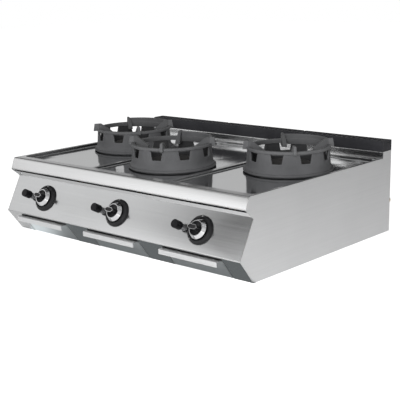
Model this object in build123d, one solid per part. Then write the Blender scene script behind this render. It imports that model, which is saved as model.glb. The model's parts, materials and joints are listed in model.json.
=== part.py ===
from build123d import *
import math
import os

# Countertop gas wok range with three bays, in millimetres.
# Every piece is drawn with x across (0 at the middle), y to the rear (0 at the worktop's
# front edge) and z up (0 at the base). The last step moves y to the middle of the box.

# ---------------------------------------------------------------- driving dimensions
WIDTH = 1200.0                 # over the side panels
BAY = 400.0                    # width of one bay
TOP = 290.0                    # height of the worktop
RISER_TOP = 315.0              # height of the rear step
RISER_FRONT = 793.0            # y of the rear step's front face
REAR = 850.0                   # y of the rear panel's outside
LIP_BOTTOM = (-18.0, 246.0)    # y, z of the worktop lip's lower edge
NOTCH = (20.0, 214.0)          # y, z of the recess under the lip
PANEL_BOTTOM = (-50.0, 85.0)   # y, z of the control panel's lower edge
BASE_FRONT = (16.0, 0.0)       # y, z of the base's front edge
LIP_RADIUS = 9.0               # bend at the top of the lip

SIDE_SHEET = 2.0               # side panels
TOP_SHEET = 2.0                # worktop and wells
PANEL_SHEET = 1.5              # front panel, rear panel and trays
DUCT_SHEET = 1.0               # flue duct
SIDE_GAP = 0.5                 # between the worktop and a side panel
FLUE_HALF = 588.0              # half width of the flue slot in the rear step

STRIP = 38.0                   # front strip of the worktop, from its edge to the recess
RECESS_REAR = 765.0            # y of the recess's rear wall
RIM = 14.0                     # side rims of the recess, from the side panel's outside
DIVIDER = 20.0                 # width of the dividers between the wells
DIVIDER_TOP = 285.0            # height of the dividers
WELL_FLOOR = 277.0             # height of the well floors
WELL_CORNER = 20.0             # upright corners of the wells
WELL_BEND = 5.0                # bend between a well's wall and its floor
HOLE_RADIUS = 136.0            # burner hole in a well's floor
HOLE_RIM_TOP = 283.5           # height of the turned-up rim round that hole

BURNER_Y = {"left": 470.0, "middle": 280.0, "right": 470.0}
BAY_X = {"left": -BAY, "middle": 0.0, "right": BAY}
STAND_TURN = {"left": -36.0, "middle": -60.0, "right": -45.0}   # front finger's bearing

STAND_TOP = 359.5              # top of the stand's lower ring
STAND_RADIUS = 149.0           # outside of the lower ring's wall at its top
STAND_FOOT = 165.0             # outside of its foot flange
RIM_TOP = 368.5                # top of the upper ring's rim
SKIRT_DEPTH = 6.0              # how far the upper ring's skirt reaches into the lower ring
REAR_SKIRT_DEPTH = 10.5        # the same below the raised wall
FINGER_TOP = 389.0             # top of the fingers
WALL_TOP = 386.0               # top of the raised rear wall
WINDOWS = 9                    # windows in the lower ring
FIRST_WINDOW = -108.7          # bearing of one window's middle
WINDOW_SILL = 324.0
WINDOW_HALF = (17.7, 24.0)     # half width at the sill and at the top

KNOB_DOWN = 70.0               # knob axis, measured down the panel from its top edge
BUTTON_LEFT = 81.0             # button axis, to the left of the knob axis
BUTTON_DOWN = 71.5             # button axis, measured down the panel from its top edge
BUTTON_RADIUS = 15.0
BEZEL_RADIUS = 51.5
KNOB_TRAVEL = 6.0
BUTTON_TRAVEL = 8.0

TRAY_PITCH = 385.0
TRAY_WIDTH = 262.0
TRAY_LENGTH = 620.0            # y of the tray's rear wall
TRAY_WALL_TOP = 45.0
RUNNER_SHEET = 2.0
TRAY_BOTTOM = 2.05             # underside, just clear of the runners
TRAY_LIP_FRONT = -67.0         # y of the pull lip's front
TRAY_LIP = (57.5, 75.5)        # z of the pull lip's lower and upper edge
TRAY_SLOT_TOP = 81.0           # upper edge of the tray openings, just below the panel's bend

MANIFOLD_RADIUS = 13.0
VALVE_DEPTH = 62.0             # from the panel's face to the back of the valve body
PLUG_RADIUS = 7.0
STEM_RADIUS = 4.0
STEM_FLAT = 2.8                # from the stem's axis to its flat
RUNNING = 0.05                 # radial clearance of turning and sliding fits
INLET_X = 575.0
INLET_END = 877.0              # y of the gas inlet's open end

FRONT_MOST = TRAY_LIP_FRONT
REAR_MOST = INLET_END
Y_MIDDLE = (FRONT_MOST + REAR_MOST) / 2

# ---------------------------------------------------------------- the two sloping faces
PANEL_LENGTH = math.dist(NOTCH, PANEL_BOTTOM)
DOWN_Y = (PANEL_BOTTOM[0] - NOTCH[0]) / PANEL_LENGTH
DOWN_Z = (PANEL_BOTTOM[1] - NOTCH[1]) / PANEL_LENGTH
APRON_LENGTH = math.dist(PANEL_BOTTOM, BASE_FRONT)


def panel_point(down, out=0.0):
    """(y, z) at a distance down the control panel and out from its face."""
    y = NOTCH[0] + DOWN_Y * down + DOWN_Z * out
    z = NOTCH[1] + DOWN_Z * down - DOWN_Y * out
    return y, z


def apron_point(z):
    """(y, z) on the apron's face at height z."""
    slope = (BASE_FRONT[0] - PANEL_BOTTOM[0]) / PANEL_BOTTOM[1]
    return PANEL_BOTTOM[0] + slope * (PANEL_BOTTOM[1] - z), z


def on_panel(x, down=KNOB_DOWN):
    """Plane on the control panel: local z points out of it and local y points up it."""
    y, z = panel_point(down)
    return Plane(origin=(x, y, z), x_dir=(1, 0, 0), z_dir=(0, DOWN_Z, -DOWN_Y))


def on_button(bay):
    """The same plane at one bay's igniter button."""
    return on_panel(BAY_X[bay] - BUTTON_LEFT, BUTTON_DOWN)


# ---------------------------------------------------------------- helpers
def block(x0, x1, y0, y1, z0, z1):
    """Box between two opposite corners."""
    middle = Pos((x0 + x1) / 2, (y0 + y1) / 2, (z0 + z1) / 2)
    return middle * Box(x1 - x0, y1 - y0, z1 - z0)


def rod(radius, z0, z1, x=0.0, y=0.0):
    """Upright cylinder between two heights."""
    return Pos(x, y, (z0 + z1) / 2) * Cylinder(radius, z1 - z0)


def rod_y(radius, x, z, y0, y1):
    """Cylinder that runs from front to rear."""
    return Pos(x, (y0 + y1) / 2, z) * Rot(90, 0, 0) * Cylinder(radius, y1 - y0)


def turned(points):
    """Solid of revolution about z from an (r, z) outline."""
    outline = make_face(Polyline(*points, close=True))
    return revolve(Plane.XZ * outline, Axis.Z)


def side_solid(points, x0, x1):
    """A (y, z) outline pulled across from x0 to x1."""
    outline = make_face(Polyline(*points, close=True))
    return Pos(x0, 0, 0) * extrude(Plane.YZ * outline, x1 - x0)


def folded_outline(path, thickness, radii):
    """Section of a folded sheet. Its face follows the path, the metal is on the path's left,
    and radii gives the inside radius of each fold."""
    count = len(path)
    steps = [(path[i + 1][0] - path[i][0], path[i + 1][1] - path[i][1]) for i in range(count - 1)]
    units = [(a / math.hypot(a, b), b / math.hypot(a, b)) for a, b in steps]
    normals = [(-b, a) for a, b in units]
    other = []
    face_radii = []
    other_radii = []
    for i, (y, z) in enumerate(path):
        if i in (0, count - 1):
            side = normals[0] if i == 0 else normals[-1]
            other.append((y + side[0] * thickness, z + side[1] * thickness))
            continue
        before, after = normals[i - 1], normals[i]
        mitre = thickness / (1 + before[0] * after[0] + before[1] * after[1])
        other.append((y + (before[0] + after[0]) * mitre, z + (before[1] + after[1]) * mitre))
        turn = units[i - 1][0] * units[i][1] - units[i - 1][1] * units[i][0]
        inside = radii[i - 1]
        face_radii.append(inside + thickness if turn > 0 else inside)
        other_radii.append(inside if turn > 0 else inside + thickness)
    face = FilletPolyline(*path, radius=face_radii)
    back = FilletPolyline(*other, radius=other_radii)
    ends = [Line(path[0], other[0]), Line(path[-1], other[-1])]
    return make_face([face, back, *ends])


def folded_sheet(path, thickness, radii, x0, x1):
    """A folded sheet pulled across from x0 to x1."""
    return Pos(x0, 0, 0) * extrude(Plane.YZ * folded_outline(path, thickness, radii), x1 - x0)


def rounded_box(x0, x1, y0, y1, z0, z1, corner):
    """Box with rounded upright corners."""
    outline = RectangleRounded(x1 - x0, y1 - y0, corner)
    return Pos((x0 + x1) / 2, (y0 + y1) / 2, z0) * extrude(outline, z1 - z0)


def tube(route, radius, bend, bore=0.0):
    """Round tube along straight runs joined by tangent arcs."""
    path = FilletPolyline(*route, radius=bend)
    start = Plane(origin=path @ 0, z_dir=path % 0)
    solid = sweep(start * Circle(radius), path)
    if bore:
        solid -= sweep(start * Circle(bore), path)
    return solid


def around(shape, count, first=0.0):
    """Copies of a shape at equal steps about z."""
    return [Rot(0, 0, first + 360.0 * i / count) * shape for i in range(count)]


def write(name, *solids):
    """Write one node, moved so that y is 0 at the middle of the box."""
    children = [piece for shape in solids for piece in shape.solids()]
    moved = [Pos(0, -Y_MIDDLE, 0) * piece for piece in children]
    export_step(moved[0] if len(moved) == 1 else Compound(children=moved), f"parts/{name}.step")


# ---------------------------------------------------------------- casing
INSIDE = WIDTH / 2 - SIDE_SHEET - SIDE_GAP      # half width between the side panels


def side_panel(side):
    """Flat cheek that follows the whole profile: lip, recess, control panel, apron and step."""
    corners = [(0, TOP), LIP_BOTTOM, NOTCH, PANEL_BOTTOM, BASE_FRONT, (REAR, 0),
               (REAR, RISER_TOP), (RISER_FRONT, RISER_TOP), (RISER_FRONT, TOP)]
    outline = make_face(Polyline(*corners, close=True))
    front_corner = outline.vertices().sort_by_distance((0, TOP))[0]
    outline = fillet(front_corner, LIP_RADIUS)
    sheet = extrude(Plane.YZ * outline, SIDE_SHEET)
    inner = WIDTH / 2 - SIDE_SHEET
    return Pos(inner if side > 0 else -WIDTH / 2, 0, 0) * sheet


def well_edges(side):
    """Inside x limits of the well in one bay."""
    x = side * BAY
    left = -WIDTH / 2 + RIM if side < 0 else x - (BAY - DIVIDER) / 2
    right = WIDTH / 2 - RIM if side > 0 else x + (BAY - DIVIDER) / 2
    return left, right


def worktop_frame():
    """Folded top: front lip, rims, dividers, rear step with the flue slot, and rear hem."""
    hem = 2.5
    path = [(REAR + hem, 296), (REAR + hem, RISER_TOP), (RISER_FRONT, RISER_TOP),
            (RISER_FRONT, TOP), (0, TOP), LIP_BOTTOM, (8, 243), (8, 254)]
    radii = [1.5, 2, 2, LIP_RADIUS - TOP_SHEET, 2.5, 1.5]
    frame = folded_sheet(path, TOP_SHEET, radii, -INSIDE, INSIDE)

    half = WIDTH / 2 - RIM
    skirt_bottom = DIVIDER_TOP - TOP_SHEET
    hole = rounded_box(-half, half, STRIP, RECESS_REAR, skirt_bottom - 1, TOP + 1, WELL_CORNER)
    outer = half + TOP_SHEET
    skirt = rounded_box(-outer, outer, STRIP - TOP_SHEET, RECESS_REAR + TOP_SHEET,
                        skirt_bottom, TOP, WELL_CORNER + TOP_SHEET)
    frame = frame + skirt - hole
    for side in (-1, 1):
        x0, x1 = sorted((side * INSIDE, side * (INSIDE - TOP_SHEET)))
        frame += block(x0, x1, STRIP, RISER_FRONT, TOP - 22, TOP)

    rim_edges = frame.edges().filter_by(lambda e: abs(e.bounding_box().min.Z - TOP) < 0.01
                                        and abs(e.bounding_box().max.Z - TOP) < 0.01
                                        and e.bounding_box().min.Y > STRIP - 1
                                        and e.bounding_box().max.Y < RECESS_REAR + 1
                                        and abs(e.center().X) < half + 1)
    frame = fillet(rim_edges, 1.9)

    cap = rounded_box(-half, half, STRIP, RECESS_REAR, skirt_bottom, DIVIDER_TOP, WELL_CORNER)
    for side in (-1, 0, 1):
        left, right = well_edges(side)
        cap -= rounded_box(left, right, STRIP, RECESS_REAR, skirt_bottom - 1, TOP, WELL_CORNER)
    top_edges = cap.edges().filter_by(lambda e: e.bounding_box().min.Z > DIVIDER_TOP - 0.01
                                      and e.length > DIVIDER + 1)
    frame += fillet(top_edges, 1.5)

    flue_slot = block(-FLUE_HALF, FLUE_HALF, RISER_FRONT + 12, REAR - 10, TOP, RISER_TOP + 1)
    return frame - flue_slot


def well_pan(bay):
    """Shallow pressed pan with a turned-up rim round the burner hole."""
    side = round(BAY_X[bay] / BAY)
    left, right = well_edges(side)
    upper = DIVIDER_TOP - TOP_SHEET
    sheet = TOP_SHEET

    def tub(grow, bottom, bend):
        solid = rounded_box(left - grow, right + grow, STRIP - grow, RECESS_REAR + grow,
                            bottom, upper, WELL_CORNER + grow)
        return fillet(solid.edges().group_by(Axis.Z)[0], bend)

    pan = tub(sheet, WELL_FLOOR - sheet, WELL_BEND + sheet) - tub(0, WELL_FLOOR, WELL_BEND)
    x, y = BAY_X[bay], BURNER_Y[bay]
    rim = rod(HOLE_RADIUS + sheet, WELL_FLOOR - sheet, HOLE_RIM_TOP, x, y)
    hole = rod(HOLE_RADIUS, WELL_FLOOR - 2 * sheet, HOLE_RIM_TOP + 1, x, y)
    return pan + rim - hole


def front_panel():
    """Front in one folded sheet: a top flange, the sloping panel with holes for the knobs and
    buttons, the apron with one opening for each tray, and a bottom flange."""
    rise = 3.7
    slope = -DOWN_Y / -DOWN_Z
    fold = (NOTCH[0] + slope * rise, NOTCH[1] + rise)
    path = [(fold[0], 229), fold, PANEL_BOTTOM, BASE_FRONT, (FLANGE_REAR, 0)]
    panel = folded_sheet(path, PANEL_SHEET, [1, 4, 1.5], -INSIDE, INSIDE)
    for bay, x in BAY_X.items():
        panel -= on_panel(x) * Cylinder(9, 10)
        panel -= on_button(bay) * Cylinder(9, 10)
    half = TRAY_WIDTH / 2 + 3
    for step in (-1, 0, 1):
        x = step * TRAY_PITCH
        panel -= block(x - half, x + half, -80, FLANGE_REAR + 1, -1, TRAY_SLOT_TOP)
    return panel


REAR_INSIDE = REAR - PANEL_SHEET
SIDE_INSIDE = WIDTH / 2 - SIDE_SHEET
FLANGE_REAR = 36.0             # y of the rear edge of the apron's bottom flange
RAIL_TOP = 40.0
RAIL_SHEET = 3.0
CROSS_RAIL = TRAY_LENGTH + 2   # y of the cross rail's front, just behind the trays
FOOT_X = 578.0
FOOT_Y = (70.0, 810.0)
FOOT_THREAD = 5.0
FOOT_OUTER = 8.0
SCREW_RADIUS = 2.0
SCREW_PLACES = [(x, z) for x in (-540, -185, 185, 540) for z in (22, 285)]


def screw_holes():
    """Holes for the screws of the rear panel, in the panel and in what lies behind it."""
    return [rod_y(SCREW_RADIUS + RUNNING, x, z, REAR - 12, REAR + 1) for x, z in SCREW_PLACES]


def rear_panel():
    """Flat back with two rows of air slots and the hole for the gas inlet."""
    top = RISER_TOP - TOP_SHEET - 0.5
    panel = block(-INSIDE, INSIDE, REAR_INSIDE, REAR, 0, top)
    slot = Rot(90, 0, 0) * extrude(SlotOverall(70, 7), 10, both=True)
    for row in (150, 180):
        for step in range(-4, 5):
            panel -= Pos(step * 115, REAR, row) * slot
    inlet_z = manifold_centre()[1]
    panel -= rod_y(14, INLET_X, inlet_z, REAR - 10, REAR + 10)
    return panel - screw_holes()


def flue_duct():
    """Open-ended sheet channel that leads the burnt gas up to the grilles."""
    front = RISER_FRONT + 4
    top = RISER_TOP - TOP_SHEET
    half = FLUE_HALF + 4
    outer = block(-half, half, front, REAR_INSIDE, 200, top)
    inner = block(-half + DUCT_SHEET, half - DUCT_SHEET, front + DUCT_SHEET,
                  REAR_INSIDE - DUCT_SHEET, 199, top + 1)
    return outer - inner - screw_holes()


def chassis_rails():
    """Upright strips on edge: one beside each side of each tray, one across behind the trays,
    two from there to the rear, one along the rear panel and one that carries the manifold.
    Four flat plates in the corners hold the foot bushes."""
    rails = []
    for step in (-1, 0, 1):
        for side in (-1, 1):
            near = step * TRAY_PITCH + side * (TRAY_WIDTH / 2 + 1)
            x0, x1 = sorted((near, near + side * RAIL_SHEET))
            rails.append(block(x0, x1, FLANGE_REAR, CROSS_RAIL, 0, RAIL_TOP))
    behind = CROSS_RAIL + RAIL_SHEET
    rails.append(block(-SIDE_INSIDE, SIDE_INSIDE, CROSS_RAIL, behind, 0, RAIL_TOP))
    rear = block(-SIDE_INSIDE, SIDE_INSIDE, REAR_INSIDE - RAIL_SHEET, REAR_INSIDE, 0, RAIL_TOP)
    rails.append(rear - screw_holes())
    for side in (-1, 1):
        x = side * TRAY_PITCH / 2
        rails.append(block(x - RAIL_SHEET / 2, x + RAIL_SHEET / 2, behind,
                           REAR_INSIDE - RAIL_SHEET, 0, RAIL_TOP))
        x0, x1 = sorted((side * (FOOT_X - 20), side * SIDE_INSIDE))
        for y in FOOT_Y:
            plate = block(x0, x1, y - 25, y + 25, 0, RAIL_SHEET)
            rails.append(plate - rod(FOOT_OUTER, -1, RAIL_TOP, side * FOOT_X, y))
    y, z = manifold_centre()
    top = z - MANIFOLD_RADIUS
    rails.append(block(-SIDE_INSIDE, SIDE_INSIDE, y - RAIL_SHEET / 2, y + RAIL_SHEET / 2,
                       top - 25, top))
    return rails


def foot_bushes():
    """Threaded bushes that take adjustable feet or the bolts of a stand."""
    return [rod(FOOT_OUTER, 0, 24, x, y) - rod(FOOT_THREAD, -1, 25, x, y)
            for x in (-FOOT_X, FOOT_X) for y in FOOT_Y]


def tray_runners():
    """Flat strips along the foot of the rails: each carries one side of a tray."""
    runners = []
    for step in (-1, 0, 1):
        for side in (-1, 1):
            middle = step * TRAY_PITCH
            outer = middle + side * (TRAY_WIDTH / 2 + 1)
            x0, x1 = sorted((outer, outer - side * 19))
            runners.append(block(x0, x1, FLANGE_REAR, CROSS_RAIL, 0, RUNNER_SHEET))
    return runners


def rear_screws():
    """Pan-head screws of the rear panel."""
    head = Cylinder(4.5, 3)
    head = fillet(head.edges().group_by(Axis.Z)[-1], 1.4)
    head -= Pos(0, 0, 1.5) * (Box(5, 1, 1.6) + Box(1, 5, 1.6))
    screw = Pos(0, 0, 1.5) * head + rod(SCREW_RADIUS, -7, 0)
    return [Pos(x, REAR, z) * Rot(-90, 0, 0) * screw for x, z in SCREW_PLACES]


# ---------------------------------------------------------------- trays and flue grilles
def drip_tray(bay):
    """Shallow sheet tray whose sloping front carries a folded pull lip."""
    x = round(BAY_X[bay] / BAY) * TRAY_PITCH
    half = TRAY_WIDTH / 2
    sheet = PANEL_SHEET
    lip_low, lip_high = TRAY_LIP
    path = [(TRAY_LIP_FRONT + sheet, lip_low), (TRAY_LIP_FRONT + sheet, lip_high - sheet),
            apron_point(lip_high - sheet), apron_point(TRAY_BOTTOM)]
    front = folded_sheet(path, sheet, [1, 1], x - half, x + half)
    behind = apron_point(0)[0] - apron_point(TRAY_WALL_TOP)[0]
    foot = BASE_FRONT[0]
    side = [(foot, TRAY_BOTTOM), (TRAY_LENGTH, TRAY_BOTTOM), (TRAY_LENGTH, TRAY_WALL_TOP),
            (foot - behind + 2, TRAY_WALL_TOP)]
    walls = half - 1
    body = side_solid(side, x - walls, x + walls)
    inside = [(foot + 2, TRAY_BOTTOM + sheet), (TRAY_LENGTH - sheet, TRAY_BOTTOM + sheet),
              (TRAY_LENGTH - sheet, TRAY_WALL_TOP + 5), (foot - behind - 3, TRAY_WALL_TOP + 5)]
    body -= side_solid(inside, x - walls + sheet, x + walls - sheet)
    return front + body


GRILLE_TOP = 355.0


def flue_grille(bay):
    """Cast cover with a hollow underside, cross slots on top and a notch in each end. The upper
    edges that face a neighbour are chamfered."""
    x = BAY_X[bay]
    half = BAY / 2 - 0.6
    wall = 5.0
    body = block(x - half, x + half, RISER_FRONT + 1, REAR + 1, RISER_TOP, GRILLE_TOP)
    end_edges = body.edges().filter_by(Axis.Y).group_by(Axis.Z)[-1]
    body = chamfer(end_edges.filter_by(lambda e: abs(e.center().X) < WIDTH / 2 - BAY / 2), 5.5)
    front_top = body.edges().filter_by(Axis.X).group_by(Axis.Z)[-1]
    body = fillet(front_top, 2.0)
    body -= block(x - half + wall, x + half - wall, RISER_FRONT + 1 + wall, REAR + 1 - wall,
                  RISER_TOP - 1, GRILLE_TOP - wall)
    for i in range(16):
        middle = x + (i - 7.5) * 23.0
        body -= block(middle - 6, middle + 6, RISER_FRONT + 12, REAR - 10, RISER_TOP, GRILLE_TOP + 1)
    for end in (-1, 1):
        face = x + end * half
        body -= block(face - 3, face + 3, REAR - 30, REAR - 8, GRILLE_TOP - 11, GRILLE_TOP - 5)
    return body


# ---------------------------------------------------------------- wok stands
def stand_base(bay):
    """Lower ring: a foot flange on an inner seat, a groove over the flange, a slightly tapered
    wall and windows that are open at the top."""
    foot = WELL_FLOOR
    seat = 156.0
    outline = [(145.5, foot), (seat, foot), (seat, foot + 2.4), (STAND_FOOT - 3, foot + 2.8),
               (STAND_FOOT, foot + 4.5), (STAND_FOOT, foot + 9.9), (STAND_FOOT - 0.8, foot + 10.7),
               (158.5, foot + 10.9), (158.5, foot + 12.7), (160, foot + 13.5), (156, foot + 19),
               (153, foot + 27), (STAND_RADIUS, STAND_TOP), (142, STAND_TOP), (145.5, foot + 24)]
    ring = turned(outline)
    tall = STAND_TOP - WINDOW_SILL + 1
    low, high = WINDOW_HALF
    corners = [(-low, 0), (low, 0), (high, tall), (-high, tall)]
    opening = make_face(Polyline(*corners, close=True))
    opening = fillet(opening.vertices().group_by(Axis.Y)[0], 3)
    cutter = Pos(100, 0, WINDOW_SILL) * extrude(Plane.YZ * opening, 80)
    ring -= around(cutter, WINDOWS, FIRST_WINDOW)
    return Pos(BAY_X[bay], BURNER_Y[bay], 0) * ring


def stand_finger():
    """Finger along +x: a blade outside the rim and a wedge that thickens downwards inside it."""
    profile = [(166.5, STAND_TOP), (161.5, FINGER_TOP), (134, FINGER_TOP), (90, 356), (90, 346),
               (98, 344), (141, 350), (141, STAND_TOP)]
    silhouette = extrude(Plane.XZ * make_face(Polyline(*profile, close=True)), 15, both=True)
    ridge = [(4.5, FINGER_TOP - 1.5), (3.2, FINGER_TOP), (-3.2, FINGER_TOP),
             (-4.5, FINGER_TOP - 1.5)]
    inner = side_solid([(-9.5, 344), (9.5, 344), *ridge], 88, 141)
    outer = side_solid([(-5.5, 350), (5.5, 350), *ridge], 141, 170)
    return silhouette & (inner + outer)


def stand_top(bay):
    """Upper ring: a rim with a skirt, four fingers that carry the wok and, on its rear side, a
    raised wall and a deeper skirt."""
    skirt = STAND_TOP - SKIRT_DEPTH
    rear_skirt = STAND_TOP - REAR_SKIRT_DEPTH
    rim = turned([(137, skirt), (141, skirt), (141, STAND_TOP), (153, STAND_TOP),
                  (153, RIM_TOP - 1.5), (151.5, RIM_TOP), (137, RIM_TOP)])
    wall = turned([(137, rear_skirt), (141, rear_skirt), (141, RIM_TOP - 3),
                   (149.5, RIM_TOP - 3), (149.5, WALL_TOP), (143.5, WALL_TOP),
                   (142, RIM_TOP - 1), (137, RIM_TOP - 1)])
    sector = Polyline((0, 0), (250, 0), (250, 250), (0, 250), close=True)
    quarter = extrude(make_face(sector), 60)
    wall &= Pos(0, 0, RIM_TOP - 30) * Rot(0, 0, 90) * quarter
    ring = rim + wall + around(stand_finger(), 4)
    return Pos(BAY_X[bay], BURNER_Y[bay], 0) * Rot(0, 0, STAND_TURN[bay]) * ring


# ---------------------------------------------------------------- burners
BOWL_FOOT = 186.0
BOWL_TOP = 296.0
MIX_Z = 215.0                  # height of the mixing tube's axis
MIX_FRONT = 150.0              # from the burner's axis to the mixing tube's mouth
PILOT_RADIUS = 104.0           # from the burner's axis to the pilot parts
PILOT_BEARING = {"electrode": -145.0, "pilot": -130.0, "thermocouple": -115.0}
LEAD_Z = 170.0                 # height at which the pilot tubes and leads run forwards


def burner_bowl(bay):
    """Cast bowl with its mixing tube, bell mouth and the arm that holds the injector."""
    outline = [(0, BOWL_FOOT), (32, BOWL_FOOT), (62, 198), (82, 224), (85, 250), (85, BOWL_TOP),
               (78, BOWL_TOP), (78, 252), (75, 230), (57, 206), (30, 193), (0, 193)]
    bowl = turned(outline)
    mouth = -MIX_FRONT
    pipe = rod_y(22, 0, MIX_Z, mouth, -66)
    bell = Pos(0, mouth + 10, MIX_Z) * Rot(90, 0, 0) * Cone(22, 32, 20)
    arm = block(-7, 7, -176, mouth + 12, 186, 192) + block(-15, 15, -176, -171, 186, 230)
    arm -= rod_y(7, 0, MIX_Z, -180, -165)
    bore = rod_y(18, 0, MIX_Z, mouth - 1, -60)
    bore += Pos(0, mouth + 9, MIX_Z) * Rot(90, 0, 0) * Cone(18, 28, 20)
    solid = bowl + pipe + bell + arm - bore
    return Pos(BAY_X[bay], BURNER_Y[bay], 0) * solid


def burner_cap(bay):
    """Lift-off cap with flame ports round its lower edge."""
    dome = [(0, BOWL_TOP), (86, BOWL_TOP), (86, 300), (80, 306), (52, 313), (20, 317), (0, 317)]
    skirt = [(66, 286), (77.5, 286), (77.5, BOWL_TOP), (66, BOWL_TOP)]
    hollow = [(0, BOWL_TOP - 1), (66, BOWL_TOP - 1), (66, 300), (48, 306), (0, 309)]
    cap = turned(dome) + turned(skirt) - turned(hollow)
    port = block(72, 90, -1.6, 1.6, BOWL_TOP - 1, BOWL_TOP + 4)
    cap -= around(port, 36)
    return Pos(BAY_X[bay], BURNER_Y[bay], 0) * cap


def burner_bracket(bay):
    """Strap that hangs from the well's floor and carries the burner."""
    sheet = 3.0
    reach = HOLE_RADIUS + TOP_SHEET + 5
    strap = block(-reach, reach, -20, 20, BOWL_FOOT - sheet, BOWL_FOOT)
    for side in (-1, 1):
        x0, x1 = sorted((side * (reach - sheet), side * reach))
        strap += block(x0, x1, -20, 20, BOWL_FOOT - sheet, WELL_FLOOR - TOP_SHEET)
    return Pos(BAY_X[bay], BURNER_Y[bay], 0) * strap


def injector(bay):
    """Brass jet that screws into the arm in front of the mixing tube."""
    body = rod_y(7, 0, MIX_Z, -185, -165)
    hexagon = Pos(0, -176, MIX_Z) * Rot(90, 0, 0) * extrude(RegularPolygon(10, 6), 9)
    jet = Pos(0, -161, MIX_Z) * Rot(-90, 0, 0) * Cone(6, 3, 8)
    bore = rod_y(1.2, 0, MIX_Z, -190, -150)
    return Pos(BAY_X[bay], BURNER_Y[bay], 0) * (body + hexagon + jet - bore)


def pilot_place(bay, part):
    """(x, y) of one of the parts beside a burner."""
    bearing = math.radians(PILOT_BEARING[part])
    x = BAY_X[bay] + PILOT_RADIUS * math.cos(bearing)
    y = BURNER_Y[bay] + PILOT_RADIUS * math.sin(bearing)
    return x, y


def pilot_burner(bay):
    """Pilot with a hooded top, on the bracket that also holds its two neighbours."""
    x, y = pilot_place(bay, "pilot")
    plate = turned([(85, 250), (114, 250), (114, 253), (85, 253)])
    wedge = [(0, 0)] + [(150 * math.cos(math.radians(a)), 150 * math.sin(math.radians(a)))
                        for a in (-155, -130, -105)]
    plate &= Pos(0, 0, 240) * extrude(make_face(Polyline(*wedge, close=True)), 20)
    plate = Pos(BAY_X[bay], BURNER_Y[bay], 0) * plate
    for part, radius in (("electrode", 4.5), ("thermocouple", 3.2)):
        px, py = pilot_place(bay, part)
        plate -= rod(radius, 240, 260, px, py)
    body = rod(5, 240, 292, x, y) + rod(7, 286, 296, x, y)
    return plate + body


def electrode(bay):
    """Ceramic insulator with a bent spark wire."""
    x, y = pilot_place(bay, "electrode")
    ceramic = rod(4.5, 240, 284, x, y) + rod(6.5, 253, 258, x, y)
    return ceramic + rod(1.2, 284, 302, x, y)


# ---------------------------------------------------------------- gas train
def manifold_centre():
    """(y, z) of the manifold's axis, straight behind the valves."""
    return panel_point(KNOB_DOWN, -(VALVE_DEPTH + MANIFOLD_RADIUS + 3))


def gas_manifold():
    """Closed pipe that feeds the three valves."""
    y, z = manifold_centre()
    pipe = Pos(30, y, z) * Rot(0, 90, 0) * (Cylinder(MANIFOLD_RADIUS, 940) - Cylinder(10, 934))
    end = Pos(495, y, z) * Rot(0, 90, 0) * Cylinder(10, 20)
    return pipe - end


def gas_inlet_pipe():
    """Pipe from the manifold's right end to the rear."""
    y, z = manifold_centre()
    route = [(500, y, z), (INLET_X, y, z), (INLET_X, REAR - 4, z)]
    return tube(route, MANIFOLD_RADIUS, 38, bore=10)


INLET_THREAD = 13.2


def gas_inlet_nipple():
    """Threaded gas connection with a hexagon, behind the rear panel."""
    _, z = manifold_centre()
    hexagon = Pos(INLET_X, REAR + 0.2, z) * Rot(-90, 0, 0) * extrude(RegularPolygon(17, 6), 8)
    thread = rod_y(INLET_THREAD, INLET_X, z, REAR - 4, INLET_END)
    thread = chamfer(thread.edges().group_by(Axis.Y)[-1], 1.2)
    return hexagon + thread - rod_y(9.5, INLET_X, z, REAR - 10, INLET_END + 1)


def valve_body(bay):
    """Brass gas valve behind the panel, seated on the manifold."""
    body = Pos(0, 0, -VALVE_DEPTH / 2 - 4) * Box(40, 38, VALVE_DEPTH - 8)
    body = chamfer(body.edges().filter_by(Axis.Z), 4)
    body += rod(8.5, -10, 3, 0, 0) + rod(8, -VALVE_DEPTH - 20, -VALVE_DEPTH + 2)
    magnet = Pos(0, -19, -40) * Rot(90, 0, 0) * Cylinder(10, 24)
    body += Pos(0, -8, 0) * magnet
    body -= rod(PLUG_RADIUS + RUNNING, -48, -12) + rod(STEM_RADIUS + 0.5, -14, 4)
    body = on_panel(BAY_X[bay]) * body
    y, z = manifold_centre()
    body -= Pos(0, y, z) * Rot(0, 90, 0) * Cylinder(MANIFOLD_RADIUS, 1300)
    return body


STEM_FOOT = -34.0              # inner end of the stem, from the panel's face
PLUG_FLOOR = -46.0             # bottom of the plug's bore
PLUG_TOP = -13.0
STEM_SHOULDER = PLUG_TOP + KNOB_TRAVEL + 1      # lower end of the stem's round part
STEM_STEP = 9.0                # upper end of the stem's round part
STEM_HEAD = 22.0


def flatted(radius, flat, z0, z1):
    """Round bar with one flat."""
    return rod(radius, z0, z1) - block(flat, radius + 1, -radius, radius, z0 - 1, z1 + 1)


def valve_plug(bay):
    """Plug that turns in the valve body; the stem slides in it and turns it by a flat."""
    plug = rod(PLUG_RADIUS, PLUG_FLOOR - 1, PLUG_TOP)
    plug -= flatted(STEM_RADIUS + RUNNING, STEM_FLAT + RUNNING, PLUG_FLOOR, PLUG_TOP + 1)
    return on_panel(BAY_X[bay]) * plug


def valve_stem(bay):
    """Spindle between the plug and the knob, flatted at both ends."""
    stem = flatted(STEM_RADIUS, STEM_FLAT, STEM_FOOT, STEM_SHOULDER)
    stem += rod(STEM_RADIUS, STEM_SHOULDER, STEM_STEP)
    stem += flatted(STEM_RADIUS, STEM_FLAT, STEM_STEP, STEM_HEAD)
    return on_panel(BAY_X[bay]) * stem


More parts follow.
